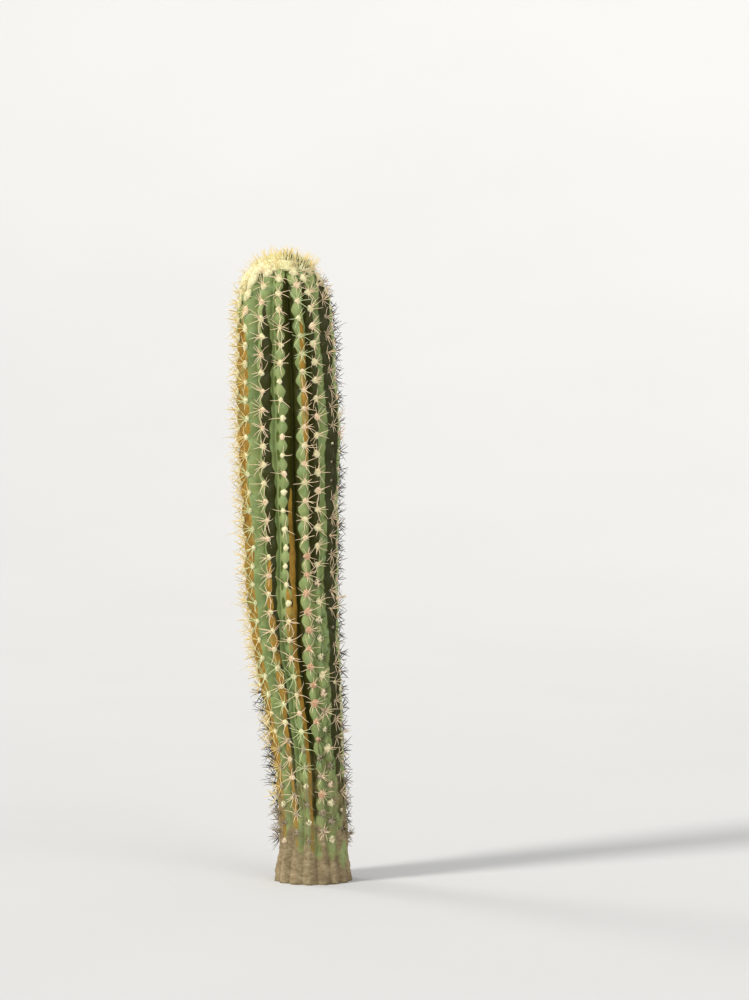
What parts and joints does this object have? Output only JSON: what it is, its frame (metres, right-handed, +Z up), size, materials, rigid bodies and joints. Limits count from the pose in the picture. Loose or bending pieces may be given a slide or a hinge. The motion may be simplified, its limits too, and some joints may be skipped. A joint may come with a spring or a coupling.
{
  "type": "columnar cactus plant",
  "caption": "Ribbed columnar cactus stem with a woolly crown and rows of spiny areoles along its ribs, cut flat at ground level.",
  "frame": {"origin": "centre of the flat cut under the stem, at ground level", "axes": "+Z up the stem, -Y towards the viewer, and the stem leans towards -X on its way up"},
  "size_m": [0.1086, 0.1041, 0.5073],
  "materials": {
    "skin": "satin plant skin",
    "crown_wool": "matt felt",
    "spines": "matt felt and dry spines"
  },
  "bodies": {
    "root": {"stem": "skin", "crown_wool": "crown_wool", "areole_row_01": "spines", "areole_row_02": "spines", "areole_row_03": "spines", "areole_row_04": "spines", "areole_row_05": "spines", "areole_row_06": "spines", "areole_row_07": "spines", "areole_row_08": "spines", "areole_row_09": "spines", "areole_row_10": "spines", "areole_row_11": "spines", "areole_row_12": "spines", "areole_row_13": "spines", "areole_row_14": "spines", "areole_row_15": "spines"}
  },
  "joints": []
}
